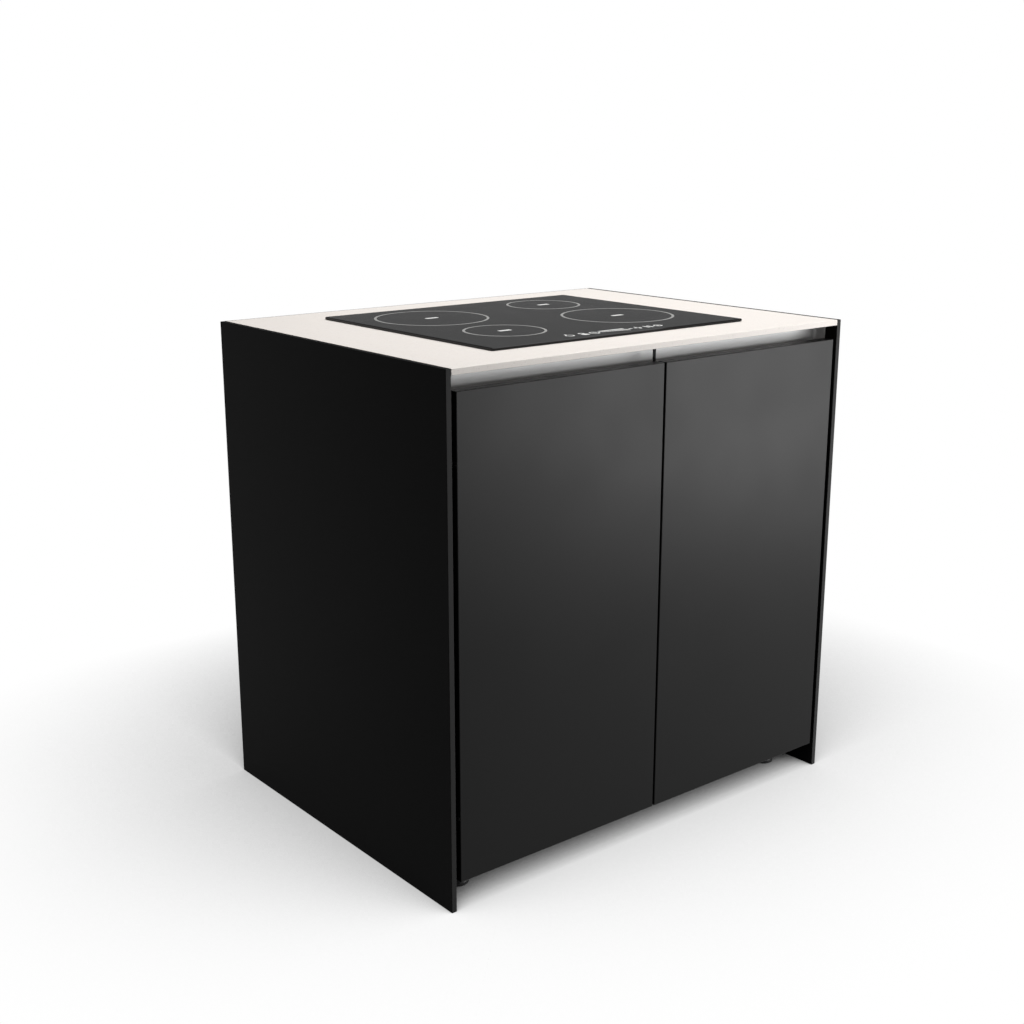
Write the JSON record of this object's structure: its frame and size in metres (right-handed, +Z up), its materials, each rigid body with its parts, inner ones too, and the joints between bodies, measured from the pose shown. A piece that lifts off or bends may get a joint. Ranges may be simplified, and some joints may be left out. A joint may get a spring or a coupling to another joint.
{
  "type": "outdoor kitchen hob module",
  "caption": "Free-standing outdoor kitchen base unit with a flush pale worktop, an induction hob, finger channels above pivoted doors and full-height side slabs.",
  "frame": {"origin": "on the floor in the middle of the footprint", "axes": "+X to the user's right along the front, +Y from the front to the back, +Z up"},
  "size_m": [0.9, 0.69, 0.89],
  "materials": {
    "side_slab": "matt black compact laminate with a black core",
    "worktop_slab": "honed off-white stone with a fine speckle",
    "carcass_powder_coat": "matt black powder coat on folded sheet",
    "door_powder_coat": "matt black powder coat, fine texture",
    "door_foam": "closed-cell foam board",
    "channel_aluminium": "satin anodised",
    "galvanised_sheet": "galvanised, plain",
    "stainless_steel": "brushed stainless",
    "hinge_alloy": "machined, satin",
    "bush_nylon": "natural nylon",
    "black_plastic": "moulded black plastic",
    "soft_rubber": "soft black rubber",
    "hob_glass": "polished black glass ceramic",
    "coil_copper": "enamelled copper litz",
    "ferrite": "sintered ferrite",
    "bare_aluminium": "mill finish",
    "circuit_board": "green solder mask"
  },
  "bodies": {
    "carcass": {"left_side_panel": "side_slab", "right_side_panel": "side_slab", "worktop": "worktop_slab", "back_panel": "carcass_powder_coat", "base_pan": "carcass_powder_coat", "left_wall": "carcass_powder_coat", "right_wall": "carcass_powder_coat", "left_front_post": "carcass_powder_coat", "right_front_post": "carcass_powder_coat", "left_rear_post": "carcass_powder_coat", "right_rear_post": "carcass_powder_coat", "front_top_rail": "carcass_powder_coat", "rear_top_rail": "carcass_powder_coat", "centre_divider": "carcass_powder_coat", "left_shelf": "carcass_powder_coat", "right_shelf": "carcass_powder_coat", "left_finger_channel": "channel_aluminium", "right_finger_channel": "channel_aluminium", "heat_shield": "galvanised_sheet", "hob_casing": "galvanised_sheet", "left_hinge_brackets": "stainless_steel", "right_hinge_brackets": "stainless_steel", "hob_clamps": "stainless_steel", "side_panel_bolts": "stainless_steel", "shelf_pins": "stainless_steel", "left_hinge_bushes": "bush_nylon", "right_hinge_bushes": "bush_nylon", "foot_sockets": "black_plastic", "magnet_catches": "black_plastic", "hob_terminal_box": "black_plastic", "cable_gland": "black_plastic", "hob_coil_formers": "black_plastic", "hob_fan_housing": "black_plastic", "hob_seal": "soft_rubber", "hob_glass": "hob_glass", "hob_coil_windings": "coil_copper", "hob_coil_ferrites": "ferrite", "hob_coil_tray": "bare_aluminium", "hob_heat_sink": "bare_aluminium", "hob_power_board": "circuit_board", "hob_touch_board": "circuit_board"},
    "left_door": {"left_door_skin": "door_powder_coat", "left_door_core": "door_foam", "left_door_back": "door_powder_coat", "left_door_bumpers": "soft_rubber", "left_strike_plate": "stainless_steel", "left_hinge_blocks": "hinge_alloy", "left_hinge_pins": "stainless_steel"},
    "right_door": {"right_door_skin": "door_powder_coat", "right_door_core": "door_foam", "right_door_back": "door_powder_coat", "right_door_bumpers": "soft_rubber", "right_strike_plate": "stainless_steel", "right_hinge_blocks": "hinge_alloy", "right_hinge_pins": "stainless_steel"},
    "hob_fan": {"hob_fan_rotor": "black_plastic"},
    "foot_front_left": {"front_left_foot": "black_plastic"},
    "foot_front_right": {"front_right_foot": "black_plastic"},
    "foot_rear_left": {"rear_left_foot": "black_plastic"},
    "foot_rear_right": {"rear_right_foot": "black_plastic"}
  },
  "joints": [
    {"name": "left_door_hinge", "type": "hinge", "parent": "carcass", "child": "left_door", "pos_m": [-0.421, -0.335, 0.45], "axis": [0, 0, -1], "range_deg": [0, 105]},
    {"name": "right_door_hinge", "type": "hinge", "parent": "carcass", "child": "right_door", "pos_m": [0.421, -0.335, 0.45], "axis": [0, 0, 1], "range_deg": [0, 105]},
    {"name": "hob_fan_spin", "type": "hinge", "parent": "carcass", "child": "hob_fan", "pos_m": [-0.186, 0.055, 0.85], "axis": [0, 0, 1], "continuous": true},
    {"name": "foot_front_left_height", "type": "slide", "parent": "carcass", "child": "foot_front_left", "axis": [0, 0, -1], "range_m": [-0.008, 0.012]},
    {"name": "foot_front_right_height", "type": "slide", "parent": "carcass", "child": "foot_front_right", "axis": [0, 0, -1], "range_m": [-0.008, 0.012]},
    {"name": "foot_rear_left_height", "type": "slide", "parent": "carcass", "child": "foot_rear_left", "axis": [0, 0, -1], "range_m": [-0.008, 0.012]},
    {"name": "foot_rear_right_height", "type": "slide", "parent": "carcass", "child": "foot_rear_right", "axis": [0, 0, -1], "range_m": [-0.008, 0.012]}
  ]
}
